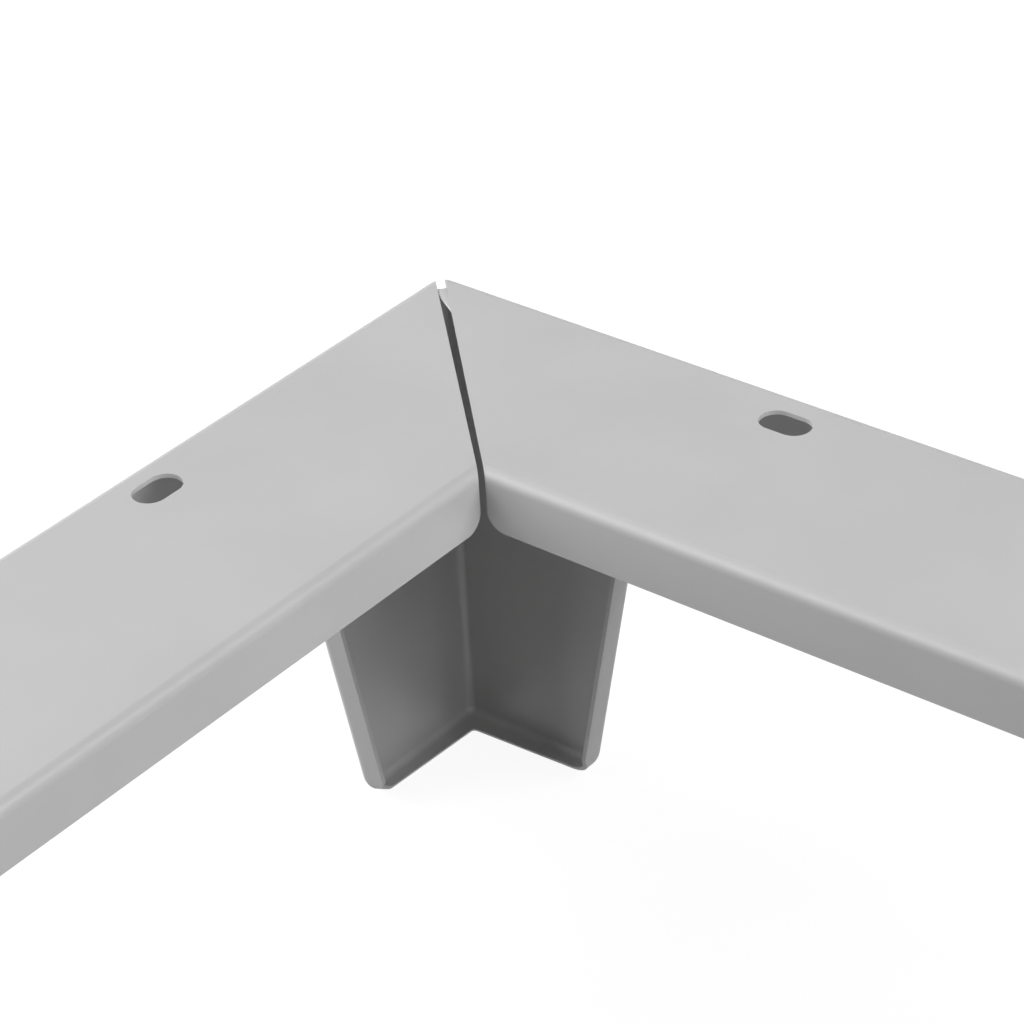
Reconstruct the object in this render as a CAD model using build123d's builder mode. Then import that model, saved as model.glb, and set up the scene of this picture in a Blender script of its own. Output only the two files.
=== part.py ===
from build123d import *
from math import atan, degrees
import os

# Plinth base for a steel wardrobe: a folded sheet frame on four pressed corner legs.
# Millimetres, Z up, origin on the floor under the middle of the frame, front towards -Y.

# Overall sizes
frame_width = 600.0
frame_depth = 490.0
total_height = 140.0

# Sheet and bends, the same in all pieces
sheet = 1.2
bend_inner = 2.0
bend_outer = bend_inner + sheet

# Frame section: outer wall, top flange and inner lip
wall_height = 40.0
flange_width = 70.0
lip_height = 16.0
lip_corner_radius = 5.0

# Open mitres between neighbouring flanges: how far each cut edge stands back from the full corner,
# measured along the rail, at the outer wall and at the lip
rear_setback_at_wall = 1.3
rear_setback_at_lip = 1.3
side_setback_at_wall = 2.25
side_setback_at_lip = 0.9

# Round-bottomed relief notch where the wall folds round the corner
notch_width = 6.3
notch_drop = 4.4
notch_reach = 4.5

# Slotted bolt holes in the flanges, long way along the rail
slot_length = 14.0
slot_width = 9.0
rear_slot_from_corner = 117.7
rear_slot_from_wall = 12.4
side_slot_from_corner = 119.3
side_slot_from_wall = 11.4

# Legs: two wings that narrow towards the floor, with a rim folded in along the sides and the foot
leg_top_width = 74.2
leg_foot_width = 46.6
leg_foot_radius = 8.0
leg_top_clearance = 0.3

# The rim is deepest along the sides. At the foot it narrows from the crease to the foot's round corner,
# and above that corner it widens to the full depth again.
side_rim_depth = 9.0
foot_rim_at_crease = 6.8
foot_rim_at_end = 4.8
foot_rim_rise = 8.0
crease_radius = 1.5


def mitre_plane(at_wall, at_lip):
    """Upright plane through both ends of a cut edge in plan, facing right of the way to the lip."""
    along = (Vector(*at_lip) - Vector(*at_wall)).normalized()
    return Plane(origin=(*at_wall, 0), x_dir=along, z_dir=along.cross(Vector(0, 0, 1)))


def rail_flange(rail_length, setback_at_wall, setback_at_lip):
    """Flange and lip of a rail along X, with the wall's outer face at y = 0 and the lip towards -Y."""
    lip_length = rail_length - 2 * (flange_width + setback_at_lip)
    with BuildPart() as rail:
        with BuildSketch(Plane(origin=(0, 0, 0), x_dir=(0, -1, 0), z_dir=(-1, 0, 0))):
            with BuildLine():
                wall_bend = JernArc((0, total_height - bend_outer), (0, 1), bend_outer, -90)
                flange = Line(wall_bend @ 1, (flange_width - bend_outer, total_height))
                JernArc(flange @ 1, flange % 1, bend_outer, -90)
                offset(amount=sheet, side=Side.RIGHT)
            make_face()
        extrude(amount=rail_length / 2, both=True)
        for way in (-1, 1):
            at_wall = (way * (rail_length / 2 - setback_at_wall), 0)
            at_lip = (way * lip_length / 2, -flange_width)
            split(bisect_by=mitre_plane(at_wall, at_lip), keep=Keep.TOP if way > 0 else Keep.BOTTOM)
        # The lip is cut square to the rail, and its lower corners are round
        lip_top = total_height - bend_outer
        with BuildSketch(Plane((0, -flange_width, lip_top), x_dir=(1, 0, 0), z_dir=(0, -1, 0))) as lip:
            Rectangle(lip_length, lip_height - bend_outer, align=(Align.CENTER, Align.MAX))
            fillet(lip.vertices().group_by(Axis.Y)[0], lip_corner_radius)
        extrude(amount=-sheet)
    return rail.part


rear_flange = rail_flange(frame_width, rear_setback_at_wall, rear_setback_at_lip)
side_flange = rail_flange(frame_depth, side_setback_at_wall, side_setback_at_lip)

# The frame: one strip whose wall runs round all four corners, with a flange and lip on each side
with BuildPart() as frame:
    with BuildSketch(Plane.XY.offset(total_height - wall_height)):
        RectangleRounded(frame_width, frame_depth, bend_outer)
        RectangleRounded(
            frame_width - 2 * sheet, frame_depth - 2 * sheet, bend_inner, mode=Mode.SUBTRACT
        )
    extrude(amount=wall_height - bend_outer)
    for way in (-1, 1):
        with Locations((0, way * frame_depth / 2)):
            add(rear_flange, rotation=(0, 0, 90 - way * 90))
        with Locations((way * frame_width / 2, 0)):
            add(side_flange, rotation=(0, 0, -way * 90))
    # A relief notch through each corner fold, open at the top
    for x_way in (-1, 1):
        for y_way in (-1, 1):
            corner = (x_way * frame_width / 2, y_way * frame_depth / 2, total_height - notch_drop)
            inwards = Vector(-x_way, -y_way, 0)
            with BuildSketch(Plane(origin=corner, x_dir=(y_way, -x_way, 0), z_dir=inwards)):
                with Locations((0, notch_width / 2)):
                    Circle(notch_width / 2)
            extrude(amount=notch_reach, mode=Mode.SUBTRACT)
    # Two bolt slots in each rail
    rear_slot_x = frame_width / 2 - rear_slot_from_corner
    side_slot_y = frame_depth / 2 - side_slot_from_corner
    with BuildSketch(Plane.XY.offset(total_height)):
        with GridLocations(2 * rear_slot_x, frame_depth - 2 * rear_slot_from_wall, 2, 2):
            SlotOverall(slot_length, slot_width)
        with GridLocations(frame_width - 2 * side_slot_from_wall, 2 * side_slot_y, 2, 2):
            SlotOverall(slot_length, slot_width, rotation=90)
    extrude(amount=-sheet, mode=Mode.SUBTRACT)
frame.part.label = "frame"

# A leg's outer faces lie against the inside of the wall, and its top stays below the wall's bend
leg_x = frame_width / 2 - sheet
leg_y = frame_depth / 2 - sheet
leg_top = total_height - bend_outer - leg_top_clearance
leg_lean = (leg_top_width - leg_foot_width) / total_height


def wing_face(face_plane, inset, height):
    """Face of one wing, x away from the corner and y up, moved in from its edges by inset."""
    side_inset = inset * (1 + leg_lean**2) ** 0.5
    foot_x = leg_foot_width - side_inset + leg_lean * inset
    head_x = leg_foot_width - side_inset + leg_lean * height
    with BuildSketch(face_plane) as wing:
        with BuildLine():
            Polyline((inset, inset), (foot_x, inset), (head_x, height), (inset, height), close=True)
        make_face()
        foot_corner = wing.vertices().group_by(Axis.Y)[0].sort_by(Axis.X)[-1]
        fillet(foot_corner, leg_foot_radius - inset)
    return wing.sketch


def wing_pair(inset, height, bend_radius):
    """Both wings of the rear left leg as thick plates, with the edges of their outer faces bent round."""
    left_wing = wing_face(Plane((inset - leg_x, leg_y, 0), (0, -1, 0), (-1, 0, 0)), inset, height)
    rear_wing = wing_face(Plane((-leg_x, leg_y - inset, 0), (1, 0, 0), (0, -1, 0)), inset, height)
    with BuildPart() as pair:
        extrude(left_wing, amount=-side_rim_depth)
        extrude(rear_wing, amount=side_rim_depth)
        outer_faces = [pair.faces().sort_by(Axis.X)[0], pair.faces().sort_by(Axis.Y)[-1]]
        outer_edges = ShapeList({edge for face in outer_faces for edge in face.edges()})
        fillet(outer_edges.filter_by_position(Axis.Z, 0, height - sheet), bend_radius)
    return pair.part


leg_blank = wing_pair(0, leg_top, bend_outer)
leg_hollow = wing_pair(sheet, total_height, bend_inner)

# The rear left leg, and its mirror images in the other three corners
with BuildPart() as rear_left_leg:
    add(leg_blank)
    add(leg_hollow, mode=Mode.SUBTRACT)
    # The rims of the foot are trimmed back, on a slope that runs out into the side rims
    trim_end = leg_top_width
    with BuildSketch(Plane((-leg_x, leg_y, 0), x_dir=(1, 0, 0), z_dir=(0, 0, -1))):
        with BuildLine():
            rim_narrowing = (foot_rim_at_crease - foot_rim_at_end) / leg_foot_width
            end_depth = foot_rim_at_crease - rim_narrowing * trim_end
            crease = (foot_rim_at_crease, foot_rim_at_crease)
            Polyline(crease, (trim_end, end_depth), (trim_end, trim_end), (end_depth, trim_end), close=True)
        make_face()
    slope = degrees(atan((side_rim_depth - foot_rim_at_end) / foot_rim_rise))
    extrude(amount=-foot_rim_rise, taper=slope, mode=Mode.SUBTRACT)
    crease_end = Vertex(foot_rim_at_crease - leg_x, leg_y - foot_rim_at_crease, sheet / 2)
    fillet(rear_left_leg.edges().sort_by_distance(crease_end)[0], crease_radius)
rear_left_leg.part.label = "rear_left_leg"

with BuildPart() as rear_right_leg:
    mirror(rear_left_leg.part, about=Plane.YZ)
rear_right_leg.part.label = "rear_right_leg"

with BuildPart() as front_left_leg:
    mirror(rear_left_leg.part, about=Plane.XZ)
front_left_leg.part.label = "front_left_leg"

with BuildPart() as front_right_leg:
    mirror(front_left_leg.part, about=Plane.YZ)
front_right_leg.part.label = "front_right_leg"

os.makedirs("parts", exist_ok=True)
for piece in (frame, rear_left_leg, rear_right_leg, front_left_leg, front_right_leg):
    export_step(piece.part, f"parts/{piece.part.label}.step")
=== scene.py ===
"""A wardrobe's plinth base: a folded frame of powder-coated sheet steel on four pressed legs.

The camera stands over the opening of the frame and looks down into its rear left corner. Lengths
are in metres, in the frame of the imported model: X to the right, Y to the back, Z up, and the floor
at zero.
"""
import logging
import math
from dataclasses import dataclass, field
from enum import Enum
from typing import Any

import bmesh
import bpy
from mathutils import Matrix, Vector


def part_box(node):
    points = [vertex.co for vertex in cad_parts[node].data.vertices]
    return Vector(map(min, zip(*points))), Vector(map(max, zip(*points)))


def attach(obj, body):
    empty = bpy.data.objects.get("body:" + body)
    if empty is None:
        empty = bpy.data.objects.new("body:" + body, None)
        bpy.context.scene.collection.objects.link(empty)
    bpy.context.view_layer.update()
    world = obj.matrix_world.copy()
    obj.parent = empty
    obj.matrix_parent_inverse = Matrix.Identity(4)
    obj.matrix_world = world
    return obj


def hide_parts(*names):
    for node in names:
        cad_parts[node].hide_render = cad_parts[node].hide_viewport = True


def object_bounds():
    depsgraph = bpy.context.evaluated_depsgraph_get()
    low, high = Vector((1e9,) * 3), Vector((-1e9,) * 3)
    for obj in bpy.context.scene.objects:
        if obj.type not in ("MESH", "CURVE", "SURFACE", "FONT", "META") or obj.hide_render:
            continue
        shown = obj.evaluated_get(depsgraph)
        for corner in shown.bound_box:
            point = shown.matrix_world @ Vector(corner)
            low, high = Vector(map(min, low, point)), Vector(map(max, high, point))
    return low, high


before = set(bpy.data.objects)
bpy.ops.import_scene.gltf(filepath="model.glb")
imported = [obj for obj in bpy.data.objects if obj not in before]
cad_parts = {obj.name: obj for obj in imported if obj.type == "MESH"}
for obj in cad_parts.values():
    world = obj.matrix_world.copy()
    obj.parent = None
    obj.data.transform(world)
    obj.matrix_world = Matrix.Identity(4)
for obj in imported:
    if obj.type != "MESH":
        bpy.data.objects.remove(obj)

MM = 0.001
QUARTER_TURN = math.pi / 2
BODY = "root"
CAD_LOW, CAD_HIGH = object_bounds()

# The sRGB curve: straight up to the knee, and a power above it
FULL_BYTE = 255
SRGB_KNEE = 0.04045
SRGB_SLOPE = 12.92
SRGB_OFFSET = 0.055
SRGB_POWER = 2.4

log = logging.getLogger("plinth_base")


class Corner(Enum):
    """A corner of the frame, as the signs of X and Y there."""

    REAR_LEFT = (-1, 1)
    REAR_RIGHT = (1, 1)
    FRONT_LEFT = (-1, -1)
    FRONT_RIGHT = (1, -1)

    @property
    def leg(self) -> str:
        """The name of the leg's node in this corner."""
        return f"{self.name.lower()}_leg"


class Wall(Enum):
    """A wall of the frame, as the quarter turns that bring the rear wall there."""

    REAR = 0
    LEFT = 1
    FRONT = 2
    RIGHT = 3


class BeadEnd(Enum):
    """An end of a mitre's weld bead, as the node tree's inputs call it."""

    START = "Start"
    END = "End"


def linear(hex_colour: str) -> tuple[float, float, float, float]:
    """Turn an sRGB hex colour to linear light.

    Args:
        hex_colour: Six hex digits, such as "c4c4c3".

    Returns:
        Red, green, blue and an alpha of one.
    """
    shares = [int(hex_colour[i:i + 2], 16) / FULL_BYTE for i in (0, 2, 4)]
    red, green, blue = (
        share / SRGB_SLOPE if share <= SRGB_KNEE
        else ((share + SRGB_OFFSET) / (1 + SRGB_OFFSET)) ** SRGB_POWER
        for share in shares
    )
    return red, green, blue, 1.0


def put_in_scene(name: str, data: bpy.types.ID) -> bpy.types.Object:
    """Make an object at the origin and link it to the scene.

    Args:
        name: The object's name.
        data: Its mesh, lamp or lens.

    Returns:
        The new object.
    """
    newcomer = bpy.data.objects.new(name, data)
    bpy.context.scene.collection.objects.link(newcomer)
    return newcomer


def shade_smooth(mesh: bpy.types.Mesh) -> None:
    """Shade every face of a mesh smooth."""
    for polygon in mesh.polygons:
        polygon.use_smooth = True


def add_node(tree: bpy.types.NodeTree, kind: str, settings: dict[str, Any] | None = None,
             links: dict[Any, bpy.types.NodeSocket] | None = None, **values: Any) -> bpy.types.Node:
    """Add a node with its settings, socket values and incoming links.

    Args:
        tree: The tree that the node goes into.
        kind: The node's type name, such as "ShaderNodeBump".
        settings: Properties of the node itself, by name.
        links: Sockets that feed this node, by the name or number of the input they go to.
        values: Values for the node's own inputs, with each space in a name as an underscore.

    Returns:
        The new node.
    """
    node = tree.nodes.new(kind)
    for name, value in (settings or {}).items():
        setattr(node, name, value)
    for name, value in values.items():
        node.inputs[name.replace("_", " ")].default_value = value
    for name, socket in (links or {}).items():
        tree.links.new(socket, node.inputs[name])
    return node


def socket_maths(tree: bpy.types.NodeTree, operation: str, first: Any,
                 second: Any) -> bpy.types.NodeSocket:
    """Work out one number from two sockets or numbers.

    Args:
        tree: The tree that the node goes into.
        operation: The Math node's operation, such as "ADD".
        first: A socket or a number.
        second: A socket or a number.

    Returns:
        The result's socket.
    """
    node = add_node(tree, "ShaderNodeMath", {"operation": operation})
    for place, value in enumerate((first, second)):
        if isinstance(value, bpy.types.NodeSocket):
            tree.links.new(value, node.inputs[place])
        else:
            node.inputs[place].default_value = value
    return node.outputs["Value"]


def socket_vector(tree: bpy.types.NodeTree,
                  **parts: bpy.types.NodeSocket) -> bpy.types.NodeSocket:
    """Join sockets to a vector.

    Args:
        tree: The tree that the node goes into.
        parts: The sockets that feed X, Y and Z. A part that isn't given is zero.

    Returns:
        The vector's socket.
    """
    return add_node(tree, "ShaderNodeCombineXYZ", links=parts).outputs["Vector"]


def new_shape_tree(name: str, **inputs: tuple[str, ...]) -> bpy.types.GeometryNodeTree:
    """Make a geometry node tree with named inputs and a geometry as its output.

    Args:
        name: The tree's name.
        inputs: The names of the inputs, by the kind of their sockets, such as Float=("Depth",).

    Returns:
        The tree, with no nodes in it.
    """
    tree = bpy.data.node_groups.new(name, "GeometryNodeTree")
    tree.interface.new_socket("Geometry", in_out="OUTPUT", socket_type="NodeSocketGeometry")
    for kind, names in inputs.items():
        for socket_name in names:
            tree.interface.new_socket(socket_name, in_out="INPUT",
                                      socket_type=f"NodeSocket{kind}")
    return tree


def with_mirror_image(tree: bpy.types.NodeTree, geometry: bpy.types.NodeSocket,
                      scale: tuple[float, float, float]) -> bpy.types.NodeSocket:
    """Join a geometry with its mirror image.

    Args:
        tree: The tree that the nodes go into.
        geometry: The geometry's socket.
        scale: Minus one for the axis that is mirrored, and one for the others.

    Returns:
        The socket of both together.
    """
    mirrored = add_node(tree, "GeometryNodeTransform", links={"Geometry": geometry}, Scale=scale)
    turned = add_node(tree, "GeometryNodeFlipFaces", links={"Mesh": mirrored.outputs["Geometry"]})
    both = add_node(tree, "GeometryNodeJoinGeometry", links={"Geometry": geometry})
    tree.links.new(turned.outputs["Mesh"], both.inputs["Geometry"])
    return both.outputs["Geometry"]


def give_out(tree: bpy.types.NodeTree, geometry: bpy.types.NodeSocket,
             coat: bpy.types.NodeSocket) -> None:
    """End a geometry node tree with real, coated geometry.

    Args:
        tree: The tree that the nodes go into.
        geometry: The socket of the finished geometry.
        coat: The socket of its material.
    """
    whole = add_node(tree, "GeometryNodeRealizeInstances", links={"Geometry": geometry})
    coated = add_node(tree, "GeometryNodeSetMaterial",
                      links={"Geometry": whole.outputs["Geometry"], "Material": coat})
    add_node(tree, "NodeGroupOutput", links={"Geometry": coated.outputs["Geometry"]})


def run_tree(carrier: bpy.types.Object, name: str, tree: bpy.types.GeometryNodeTree,
             values: dict[str, Any]) -> None:
    """Put a node tree on an object as a modifier, and set its inputs by their identifiers.

    Args:
        carrier: The object that gets the modifier.
        name: The modifier's name.
        tree: The tree that it runs.
        values: The value of each input, by the input's name.
    """
    modifier = carrier.modifiers.new(name, "NODES")
    modifier.node_group = tree
    identifiers = {item.name: item.identifier for item in tree.interface.items_tree
                   if item.in_out == "INPUT"}
    for socket_name, value in values.items():
        modifier[identifiers[socket_name]] = value


def baked(carrier: bpy.types.Object) -> bpy.types.Mesh:
    """Turn what an object's modifiers make into a plain mesh, and remove the object.

    Args:
        carrier: The object that holds the modifiers.

    Returns:
        A new mesh.
    """
    bpy.context.view_layer.update()
    evaluated = carrier.evaluated_get(bpy.context.evaluated_depsgraph_get())
    mesh = bpy.data.meshes.new_from_object(evaluated)
    carrier.modifiers.clear()
    bpy.data.objects.remove(carrier)
    return mesh


def new_material(name: str) -> bpy.types.Material:
    """Make an empty node material.

    Args:
        name: The material's name.

    Returns:
        The material, with no nodes in it.
    """
    material = bpy.data.materials.new(name)
    material.use_nodes = True
    material.node_tree.nodes.clear()
    return material


def seen_directly(tree: bpy.types.NodeTree) -> bpy.types.NodeSocket:
    """Tell the rays that show the background from those that carry its light.

    Args:
        tree: The shader tree that asks.

    Returns:
        A socket that is one for camera, glossy and transmission rays.
    """
    path = add_node(tree, "ShaderNodeLightPath").outputs
    mirrored = socket_maths(tree, "MAXIMUM", path["Is Glossy Ray"], path["Is Transmission Ray"])
    return socket_maths(tree, "MAXIMUM", path["Is Camera Ray"], mirrored)


@dataclass(frozen=True)
class Noise:
    """A noise texture: the size of its cells, its detail and how rough that detail is."""

    cell: float
    detail: float = 1.0
    roughness: float = 0.5

    def lay(self, tree: bpy.types.NodeTree, place: bpy.types.NodeSocket) -> bpy.types.NodeSocket:
        """Add the texture to a shader.

        Args:
            tree: The shader tree that the node goes into.
            place: The socket of the coordinates.

        Returns:
            The socket of the noise's level, which is a half on average.
        """
        noise = add_node(tree, "ShaderNodeTexNoise", links={"Vector": place},
                         Scale=1 / self.cell, Detail=self.detail, Roughness=self.roughness)
        return noise.outputs["Fac"]


@dataclass(frozen=True)
class Swing:
    """A value that swings about its middle as a noise goes from its low to its high level."""

    middle: float
    reach: float
    low: float
    high: float

    def follow(self, tree: bpy.types.NodeTree,
               level: bpy.types.NodeSocket) -> bpy.types.NodeSocket:
        """Make the value follow a noise.

        Args:
            tree: The shader tree that the node goes into.
            level: The socket of the noise's level.

        Returns:
            The value's socket.
        """
        swing = add_node(tree, "ShaderNodeMapRange", links={"Value": level},
                         From_Min=self.low, From_Max=self.high,
                         To_Min=self.middle - self.reach, To_Max=self.middle + self.reach)
        return swing.outputs["Result"]


@dataclass(frozen=True)
class PowderCoat:
    """Polyester powder coat, sprayed dry on sheet steel and melted to a skin in the oven.

    The melted skin is about 0.07 mm thick. It gives the eye an even light grey, a broad soft
    highlight, and orange peel so shallow that it shows only where a highlight runs out.
    """

    colour: str = "c3c3c3"
    ior: float = 1.5
    gloss: Swing = Swing(middle=0.42, reach=0.05, low=0.3, high=0.7)
    cloud: Noise = Noise(38.0 * MM, detail=2.0)
    cloud_shade: Swing = Swing(middle=1.0, reach=0.035, low=0.25, high=0.75)
    peel: Noise = Noise(2.4 * MM, roughness=0.4)
    peel_height: float = 0.004 * MM
    grain: Noise = Noise(0.35 * MM)
    grain_height: float = 0.0006 * MM

    def build(self) -> bpy.types.Material:
        """Build the material.

        Returns:
            The powder coat as a node material on Object coordinates.
        """
        material = new_material("powder_coat_light_grey")
        tree = material.node_tree
        place = add_node(tree, "ShaderNodeTexCoord").outputs["Object"]

        # Cloudiness where the gun passed twice, a little above and below the coat's own colour
        shade = self.cloud_shade.follow(tree, self.cloud.lay(tree, place))
        colour = add_node(tree, "ShaderNodeVectorMath", {"operation": "SCALE"}, {"Scale": shade})
        colour.inputs[0].default_value = linear(self.colour)[:3]

        # Orange peel, and the finer grain of the melted powder
        peel = self.peel.lay(tree, place)
        peel_bump = add_node(tree, "ShaderNodeBump", links={"Height": peel},
                             Strength=1.0, Distance=self.peel_height)
        grain_bump = add_node(tree, "ShaderNodeBump",
                              links={"Height": self.grain.lay(tree, place),
                                     "Normal": peel_bump.outputs["Normal"]},
                              Strength=1.0, Distance=self.grain_height)

        coat = add_node(tree, "ShaderNodeBsdfPrincipled",
                        links={"Base Color": colour.outputs["Vector"],
                               "Roughness": self.gloss.follow(tree, peel),
                               "Normal": grain_bump.outputs["Normal"]},
                        IOR=self.ior)
        add_node(tree, "ShaderNodeOutputMaterial", links={"Surface": coat.outputs["BSDF"]})
        return material


@dataclass(frozen=True)
class StudioPaper:
    """The pale paper that the base stands on.

    What the camera sees is white with a faint shadow. What lights the base from below is the
    paper's own darker grey, because the base stands well clear of any white wall.
    """

    seen_colour: str = "ffffff"
    seen_glow: float = 0.92
    seen_diffuse: float = 0.15
    bounce_colour: str = "909090"
    fibre: Noise = Noise(1.5 * MM, detail=2.0)
    fibre_height: float = 0.02 * MM

    def build(self) -> bpy.types.Material:
        """Build the material.

        Returns:
            The paper as a node material.
        """
        material = new_material("studio_paper")
        tree = material.node_tree
        place = add_node(tree, "ShaderNodeTexCoord").outputs["Object"]
        bump = add_node(tree, "ShaderNodeBump", links={"Height": self.fibre.lay(tree, place)},
                        Distance=self.fibre_height)
        level = self.seen_diffuse
        seen_paper = add_node(tree, "ShaderNodeBsdfDiffuse",
                              links={"Normal": bump.outputs["Normal"]},
                              Color=(level, level, level, 1.0))
        glow = add_node(tree, "ShaderNodeEmission", Color=linear(self.seen_colour),
                        Strength=self.seen_glow)
        seen = add_node(tree, "ShaderNodeAddShader",
                        links={0: seen_paper.outputs["BSDF"], 1: glow.outputs["Emission"]})
        bounce = add_node(tree, "ShaderNodeBsdfDiffuse", Color=linear(self.bounce_colour))
        mix = add_node(tree, "ShaderNodeMixShader",
                       links={"Fac": seen_directly(tree), 1: bounce.outputs["BSDF"],
                              2: seen.outputs["Shader"]})
        add_node(tree, "ShaderNodeOutputMaterial", links={"Surface": mix.outputs["Shader"]})
        return material


@dataclass
class SheetPiece:
    """A piece of folded sheet, built over its node, with the coat rounding its cut edges."""

    node: str
    coat: bpy.types.Material
    merge_distance: float = 0.002 * MM
    flat_angle: float = math.radians(0.2)
    edge_radius: float = 0.4 * MM
    edge_segments: int = 3
    edge_angle: float = math.radians(40)
    flat_face_weight: int = 100

    def merged_mesh(self) -> bpy.types.Mesh:
        """Merge the node's loose triangles and join the flat ones.

        Returns:
            A new mesh in the node's place.
        """
        loose = bmesh.new()
        loose.from_mesh(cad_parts[self.node].data)
        bmesh.ops.remove_doubles(loose, verts=loose.verts, dist=self.merge_distance)
        bmesh.ops.dissolve_limit(loose, angle_limit=self.flat_angle,
                                 verts=loose.verts, edges=loose.edges)
        mesh = bpy.data.meshes.new(f"{self.node}_sheet")
        loose.to_mesh(mesh)
        loose.free()
        return mesh

    def round_edges(self, piece: bpy.types.Object) -> None:
        """Round the cut edges as the coat does, and shade the bends smooth.

        Args:
            piece: The piece to finish.
        """
        shade_smooth(piece.data)
        bevel = piece.modifiers.new("coat_rounds_the_edges", "BEVEL")
        bevel.width = self.edge_radius
        bevel.segments = self.edge_segments
        bevel.limit_method = "ANGLE"
        bevel.angle_limit = self.edge_angle
        bevel.miter_outer = "MITER_ARC"
        bevel.use_clamp_overlap = True
        smooth = piece.modifiers.new("flat_faces_stay_flat", "WEIGHTED_NORMAL")
        smooth.weight = self.flat_face_weight
        smooth.keep_sharp = True

    def build(self) -> bpy.types.Object:
        """Build the piece in place of its node.

        Returns:
            The finished piece.
        """
        mesh = self.merged_mesh()
        piece = put_in_scene(f"{self.node}_coated", mesh)
        mesh.materials.clear()
        mesh.materials.append(self.coat)
        self.round_edges(piece)
        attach(piece, BODY)
        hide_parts(self.node)
        log.info("%s: %d faces before its edges are rounded", piece.name, len(mesh.polygons))
        return piece


@dataclass(frozen=True)
class SpotWelds:
    """The marks of the electrodes where the wall is spot-welded to the legs behind it.

    Each mark is a shallow round dent with a flat bottom and a sloping rim.
    """

    count: int = 2
    first_from_corner: float = 21.0 * MM
    pitch: float = 30.0 * MM
    height: float = 118.0 * MM
    radius: float = 3.0 * MM
    flat_radius: float = 2.1 * MM
    depth: float = 0.12 * MM
    sides: int = 40

    def plant(self) -> bpy.types.GeometryNodeTree:
        """Build the node tree that presses the marks into one wall.

        Returns:
            The tree, with a named input for each size and for the wall's place.
        """
        tree = new_shape_tree(
            "spot_weld_marks", Geometry=("Geometry",),
            Float=("Wall Turn", "Wall Distance", "Half Length", "First From Corner", "Pitch",
                   "Height", "Radius", "Flat Radius", "Depth"),
            Int=("Count", "Sides"), Material=("Coat",),
        )
        given = add_node(tree, "NodeGroupInput").outputs

        # A row of points inwards from one corner, and its mirror image from the other
        start = socket_vector(
            tree,
            X=socket_maths(tree, "SUBTRACT", given["Half Length"], given["First From Corner"]),
            Y=socket_maths(tree, "SUBTRACT", given["Wall Distance"], given["Depth"]),
            Z=given["Height"],
        )
        step = socket_vector(tree, X=socket_maths(tree, "MULTIPLY", given["Pitch"], -1.0))
        row = add_node(tree, "GeometryNodeMeshLine", {"mode": "OFFSET"},
                       {"Count": given["Count"], "Start Location": start, "Offset": step})
        rows = with_mirror_image(tree, row.outputs["Mesh"], (-1.0, 1.0, 1.0))

        # The electrode's tip: its narrow end is in the wall, its wide end as far outside the face
        rim = socket_maths(tree, "SUBTRACT", given["Radius"], given["Flat Radius"])
        tip = add_node(tree, "GeometryNodeMeshCone", {"fill_type": "NGON"},
                       {"Vertices": given["Sides"], "Radius Bottom": given["Flat Radius"],
                        "Radius Top": socket_maths(tree, "ADD", given["Radius"], rim),
                        "Depth": socket_maths(tree, "MULTIPLY", given["Depth"], 2.0)})
        pressed = add_node(tree, "GeometryNodeInstanceOnPoints",
                           links={"Points": rows, "Instance": tip.outputs["Mesh"]},
                           Rotation=(-QUARTER_TURN, 0.0, 0.0))
        placed = add_node(tree, "GeometryNodeTransform",
                          links={"Geometry": pressed.outputs["Instances"],
                                 "Rotation": socket_vector(tree, Z=given["Wall Turn"])})
        tips = add_node(tree, "GeometryNodeRealizeInstances",
                        links={"Geometry": placed.outputs["Geometry"]})
        dented = add_node(tree, "GeometryNodeMeshBoolean",
                          {"operation": "DIFFERENCE", "solver": "EXACT"},
                          {"Mesh 1": given["Geometry"], "Mesh 2": tips.outputs["Geometry"]})
        give_out(tree, dented.outputs["Mesh"], given["Coat"])
        return tree

    def press(self, mesh: bpy.types.Mesh, coat: bpy.types.Material) -> bpy.types.Mesh:
        """Press the marks into all four walls.

        Args:
            mesh: The frame's sheet, with its walls along X and Y round the origin.
            coat: The material of the result.

        Returns:
            A new mesh with the marks in it.
        """
        half = (CAD_HIGH - CAD_LOW) / 2
        tree = self.plant()
        carrier = put_in_scene("frame_before_welding", mesh)
        for wall in Wall:
            along, away = (half.x, half.y) if wall in (Wall.REAR, Wall.FRONT) else (half.y, half.x)
            run_tree(carrier, f"{wall.name.lower()}_wall_welds", tree, {
                "Wall Turn": wall.value * QUARTER_TURN, "Wall Distance": away,
                "Half Length": along, "First From Corner": self.first_from_corner,
                "Pitch": self.pitch, "Height": self.height, "Radius": self.radius,
                "Flat Radius": self.flat_radius, "Depth": self.depth,
                "Count": self.count, "Sides": self.sides, "Coat": coat,
            })
        welded = baked(carrier)
        log.info("spot welds: %d faces before, %d after", len(mesh.polygons), len(welded.polygons))
        return welded


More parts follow.
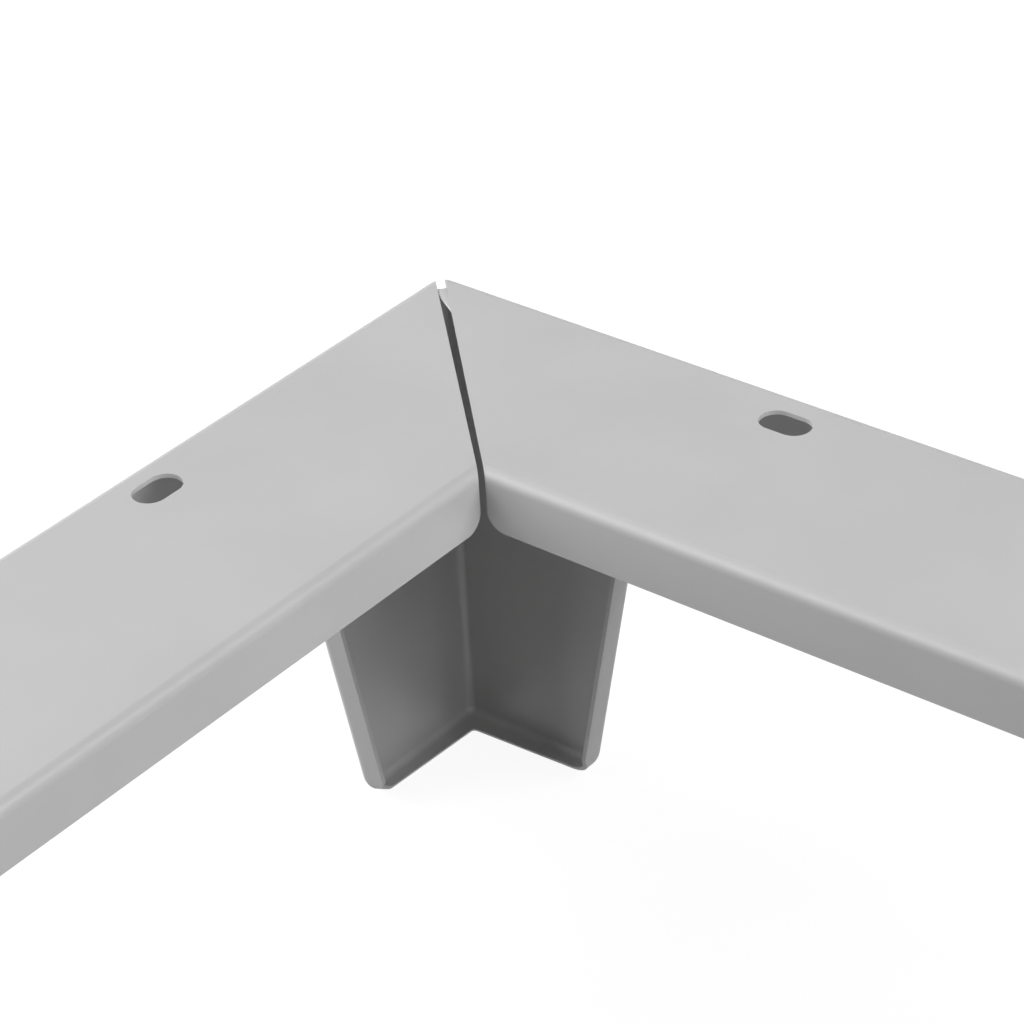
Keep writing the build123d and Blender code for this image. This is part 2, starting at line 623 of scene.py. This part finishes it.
@dataclass(frozen=True)
class MitreWelds:
    """The short welds that close the outer end of each mitre, ground level with the flanges.

    A bead is a row of flattened drops that grow smaller inwards. Places along are counted on the
    mitre's diagonal from the frame's corner, and places across from the diagonal towards the long
    rail. A bead lies a hair under the flange's face, so that the two never share a plane.
    """

    count: int = 30
    start_along: float = 10.1 * MM
    end_along: float = 21.4 * MM
    start_across: float = -0.09 * MM
    end_across: float = 1.235 * MM
    start_radius: float = 1.81 * MM
    end_radius: float = 0.485 * MM
    flatness: float = 0.36
    sunk: float = 0.06 * MM
    segments: int = 14
    rings: int = 8

    @staticmethod
    def drop_place(tree: bpy.types.NodeTree, given: Any, end: BeadEnd) -> bpy.types.NodeSocket:
        """Place the drop at one end of the bead, with its top at zero.

        Args:
            tree: The tree that the nodes go into.
            given: The sockets of the tree's inputs, by name.
            end: The end of the bead.

        Returns:
            The socket of the drop's centre.
        """
        height = socket_maths(tree, "MULTIPLY", given["Flatness"], given[f"{end.value} Radius"])
        return socket_vector(tree, X=given[f"{end.value} Along"], Y=given[f"{end.value} Across"],
                             Z=socket_maths(tree, "MULTIPLY", height, -1.0))

    def plant(self) -> bpy.types.GeometryNodeTree:
        """Build the node tree that lays a bead in all four mitres.

        Returns:
            The tree, with a named input for each size.
        """
        tree = new_shape_tree(
            "mitre_weld_beads",
            Float=("Corner X", "Corner Y", "Top", "Start Along", "End Along", "Start Across",
                   "End Across", "Start Radius", "End Radius", "Flatness"),
            Int=("Count", "Segments", "Rings"), Material=("Coat",),
        )
        given = add_node(tree, "NodeGroupInput").outputs

        # One bead: drops on a line, each scaled by its number in the row
        row = add_node(tree, "GeometryNodeMeshLine", {"mode": "END_POINTS"},
                       {"Count": given["Count"],
                        "Start Location": self.drop_place(tree, given, BeadEnd.START),
                        "Offset": self.drop_place(tree, given, BeadEnd.END)})
        number = add_node(tree, "GeometryNodeInputIndex").outputs["Index"]
        last = socket_maths(tree, "SUBTRACT", given["Count"], 1.0)
        radius = add_node(tree, "ShaderNodeMapRange",
                          links={"Value": number, "From Max": last,
                                 "To Min": given["Start Radius"], "To Max": given["End Radius"]},
                          From_Min=0.0).outputs["Result"]
        size = socket_vector(tree, X=radius, Y=radius,
                             Z=socket_maths(tree, "MULTIPLY", radius, given["Flatness"]))
        drop = add_node(tree, "GeometryNodeMeshUVSphere",
                        links={"Segments": given["Segments"], "Rings": given["Rings"]}, Radius=1.0)
        bead = add_node(tree, "GeometryNodeInstanceOnPoints",
                        links={"Points": row.outputs["Mesh"], "Instance": drop.outputs["Mesh"],
                               "Scale": size})

        # To the rear left corner, melted together there, and mirrored to the other three
        corner = socket_vector(tree, X=socket_maths(tree, "MULTIPLY", given["Corner X"], -1.0),
                               Y=given["Corner Y"], Z=given["Top"])
        placed = add_node(tree, "GeometryNodeTransform",
                          links={"Geometry": bead.outputs["Instances"], "Translation": corner},
                          Rotation=(0.0, 0.0, -QUARTER_TURN / 2))
        loose = add_node(tree, "GeometryNodeRealizeInstances",
                         links={"Geometry": placed.outputs["Geometry"]})
        melted = add_node(tree, "GeometryNodeMeshBoolean",
                          {"operation": "UNION", "solver": "EXACT"},
                          {"Mesh 2": loose.outputs["Geometry"]}, Self_Intersection=True)
        beads = melted.outputs["Mesh"]
        for scale in ((-1.0, 1.0, 1.0), (1.0, -1.0, 1.0)):
            beads = with_mirror_image(tree, beads, scale)
        give_out(tree, beads, given["Coat"])
        return tree

    def build(self, coat: bpy.types.Material) -> bpy.types.Object:
        """Lay the four beads as one piece.

        Args:
            coat: The material of the beads.

        Returns:
            The finished piece.
        """
        carrier = put_in_scene("mitres_before_welding", bpy.data.meshes.new("empty_mitres"))
        run_tree(carrier, "mitre_weld_beads", self.plant(), {
            "Corner X": CAD_HIGH.x, "Corner Y": CAD_HIGH.y, "Top": CAD_HIGH.z - self.sunk,
            "Start Along": self.start_along, "End Along": self.end_along,
            "Start Across": self.start_across, "End Across": self.end_across,
            "Start Radius": self.start_radius, "End Radius": self.end_radius,
            "Flatness": self.flatness, "Count": self.count,
            "Segments": self.segments, "Rings": self.rings, "Coat": coat,
        })
        mesh = baked(carrier)
        shade_smooth(mesh)
        piece = put_in_scene("mitre_welds", mesh)
        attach(piece, BODY)
        log.info("%s: %d faces", piece.name, len(mesh.polygons))
        return piece


@dataclass
class FoldedFrame(SheetPiece):
    """The frame: outer wall, mitred top flanges with bolt slots, and inner lips."""

    welds: SpotWelds = field(default_factory=SpotWelds)

    def merged_mesh(self) -> bpy.types.Mesh:
        """Merge the node's triangles and press the spot welds into the walls.

        Returns:
            A new mesh in the node's place.
        """
        return self.welds.press(super().merged_mesh(), self.coat)


@dataclass
class PressedLeg(SheetPiece):
    """One pressed corner leg: two tapered wings with a rim all round.

    Where the rim goes round the foot's corner on the wing by the short rail, the press draws its
    cut edge in a little, towards the middle of the corner's round and back to the wing. The
    round's centre is counted from the leg's outer face along the wing and from the floor.
    """

    corner: Corner = Corner.REAR_LEFT
    bend_end: float = 3.3 * MM
    round_centre_along: float = 40.0 * MM
    round_centre_height: float = 8.0 * MM
    round_sweep: float = math.radians(78.85)
    draw_in: float = 0.7 * MM
    draw_back: float = 0.8 * MM

    def merged_mesh(self) -> bpy.types.Mesh:
        """Merge the node's triangles and draw the cut edge in at the foot's corner.

        Returns:
            A new mesh in the node's place.
        """
        mesh = super().merged_mesh()
        low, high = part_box(self.node)
        x_way, y_way = self.corner.value
        outer_x = high.x if x_way > 0 else low.x
        outer_y = high.y if y_way > 0 else low.y
        for vertex in mesh.vertices:
            depth = (outer_x - vertex.co.x) * x_way
            beyond = (outer_y - vertex.co.y) * y_way - self.round_centre_along
            below = self.round_centre_height - vertex.co.z
            turn = math.atan2(beyond, below)
            if depth < self.bend_end or below <= 0 or not 0 < turn < self.round_sweep:
                continue
            share = math.sin(math.pi * turn / self.round_sweep) ** 2
            inwards = self.draw_in * share / math.hypot(beyond, below)
            vertex.co.x += x_way * self.draw_back * share
            vertex.co.y += y_way * beyond * inwards
            vertex.co.z += below * inwards
        return mesh


@dataclass(frozen=True)
class Softbox:
    """A soft square lamp that points at the middle of the base.

    The bearing is counted from +X towards +Y, and the height is the angle above the floor. The
    power is in watts.
    """

    name: str
    bearing_deg: float
    height_deg: float
    power: float
    distance: float = 1.8
    width: float = 0.9

    def build(self, target: Vector) -> bpy.types.Object:
        """Hang the lamp.

        Args:
            target: The point that the lamp looks at.

        Returns:
            The lamp's object.
        """
        bearing = math.radians(self.bearing_deg)
        height = math.radians(self.height_deg)
        away = Vector((math.cos(bearing) * math.cos(height),
                       math.sin(bearing) * math.cos(height), math.sin(height)))
        lamp = bpy.data.lights.new(self.name, "AREA")
        lamp.shape = "SQUARE"
        lamp.size = self.width
        lamp.energy = self.power
        holder = put_in_scene(self.name, lamp)
        holder.location = target + away * self.distance
        holder.rotation_euler = (-away).to_track_quat("-Z", "Y").to_euler()
        return holder


@dataclass
class Studio:
    """The paper floor, the lamps, the white surroundings and the camera."""

    floor_width: float = 60.0
    surround_colour: str = "ffffff"
    surround_seen: float = 1.0
    surround_light: float = 0.05
    camera_from_corner: tuple[float, float, float] = (0.52297, -0.59519, 0.43322)
    camera_heading_deg: float = 40.208
    camera_tilt_deg: float = 57.282
    camera_roll_deg: float = -3.335
    focal_length_mm: float = 121.46
    sensor_width_mm: float = 36.0
    clip_start: float = 0.01
    clip_end: float = 50.0
    softboxes: list[Softbox] = field(default_factory=lambda: [
        Softbox("front_left_softbox", 218, 45, 11.2),
        Softbox("low_front_left_softbox", 218, 20, 6.2),
        Softbox("low_left_softbox", 180, 18, 17.0),
        Softbox("low_right_softbox", 0, 14, 7.9),
        Softbox("right_softbox", 0, 35, 10.8),
        Softbox("rear_right_softbox", 38, 45, 12.2),
    ])

    def lay_floor(self) -> bpy.types.Object:
        """Lay the paper at floor level.

        Returns:
            The floor's object.
        """
        half = self.floor_width / 2
        corners = [(-half, -half, 0), (half, -half, 0), (half, half, 0), (-half, half, 0)]
        mesh = bpy.data.meshes.new("paper_floor")
        mesh.from_pydata(corners, [], [(0, 1, 2, 3)])
        mesh.materials.append(StudioPaper().build())
        floor = put_in_scene("paper_floor", mesh)
        return floor

    def surround(self) -> None:
        """Make the world white to the camera and dim as a light."""
        world = bpy.data.worlds.new("white_surroundings")
        bpy.context.scene.world = world
        world.use_nodes = True
        tree = world.node_tree
        tree.nodes.clear()
        light, seen = (
            add_node(tree, "ShaderNodeBackground", Color=linear(self.surround_colour),
                     Strength=strength).outputs["Background"]
            for strength in (self.surround_light, self.surround_seen)
        )
        mix = add_node(tree, "ShaderNodeMixShader",
                       links={"Fac": seen_directly(tree), 1: light, 2: seen})
        add_node(tree, "ShaderNodeOutputWorld", links={"Surface": mix.outputs["Shader"]})

    def place_camera(self) -> bpy.types.Object:
        """Place the camera over the opening, looking at the rear left corner.

        Returns:
            The camera's object.
        """
        low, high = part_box("frame")
        corner = Vector((low.x, high.y, high.z))
        turn = (Matrix.Rotation(math.radians(self.camera_heading_deg), 4, "Z")
                @ Matrix.Rotation(math.radians(self.camera_tilt_deg), 4, "X")
                @ Matrix.Rotation(math.radians(self.camera_roll_deg), 4, "Z"))
        lens = bpy.data.cameras.new("camera")
        lens.sensor_width = self.sensor_width_mm
        lens.lens = self.focal_length_mm
        lens.clip_start = self.clip_start
        lens.clip_end = self.clip_end
        camera = put_in_scene("camera", lens)
        camera.matrix_world = Matrix.Translation(corner + Vector(self.camera_from_corner)) @ turn
        bpy.context.scene.camera = camera
        return camera

    def build(self) -> None:
        """Set the studio up."""
        self.place_camera()
        self.lay_floor()
        self.surround()
        target = (CAD_LOW + CAD_HIGH) / 2
        for softbox in self.softboxes:
            softbox.build(target)
        bpy.context.scene.view_settings.view_transform = "Standard"


def main() -> None:
    """Build the studio and every piece of the base."""
    logging.basicConfig(level=logging.INFO, format="%(name)s: %(message)s")
    Studio().build()
    coat = PowderCoat().build()
    FoldedFrame("frame", coat).build()
    for corner in Corner:
        PressedLeg(corner.leg, coat, corner=corner).build()
    MitreWelds().build(coat)


if __name__ == "__main__":
    main()
